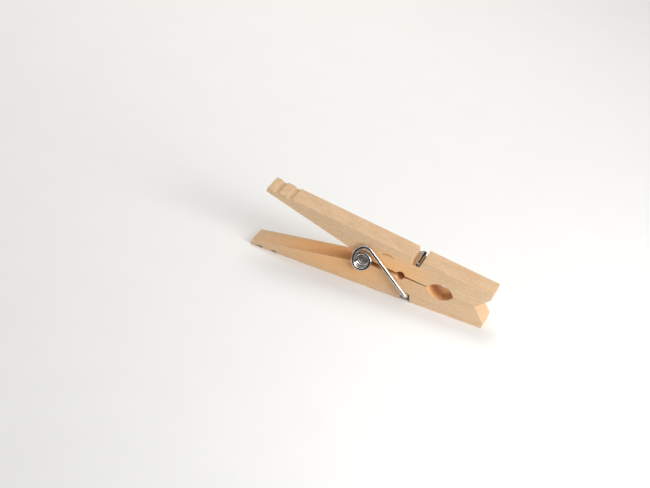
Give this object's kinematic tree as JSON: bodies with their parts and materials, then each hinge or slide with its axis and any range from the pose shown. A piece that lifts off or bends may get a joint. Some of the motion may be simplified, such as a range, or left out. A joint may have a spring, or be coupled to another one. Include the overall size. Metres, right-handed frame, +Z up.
{
  "type": "clothespin",
  "caption": "Sprung wooden clothespin: two equal tapered levers with grooved handles, a mouth, a line hole and a cord hole, closed by one bent wire torsion spring.",
  "frame": {"origin": "the middle of the outline on the surface that the closed pin lies on, under its lower lever's outer face", "axes": "+X along the pin towards the jaws, +Y across its width along the coil's axis, +Z up through both levers"},
  "size_m": [0.0748, 0.0116, 0.02],
  "materials": {
    "birch": "plain sawn and tumbled, no varnish",
    "spring_wire": "bright zinc plated drawn wire"
  },
  "bodies": {
    "lower": {"lever_lower": "birch", "spring_coil": "spring_wire", "spring_leg_lower": "spring_wire"},
    "upper": {"lever_upper": "birch", "spring_leg_upper": "spring_wire"}
  },
  "joints": [
    {"name": "jaw_hinge", "type": "hinge", "parent": "lower", "child": "upper", "pos_m": [-0.00288, 0, 0.00809], "axis": [0, -1, 0], "range_deg": [0, 27.5], "stiffness_Nm_per_rad": 0.14, "springref_deg": -42.97, "deforming": ["spring_coil"]}
  ]
}
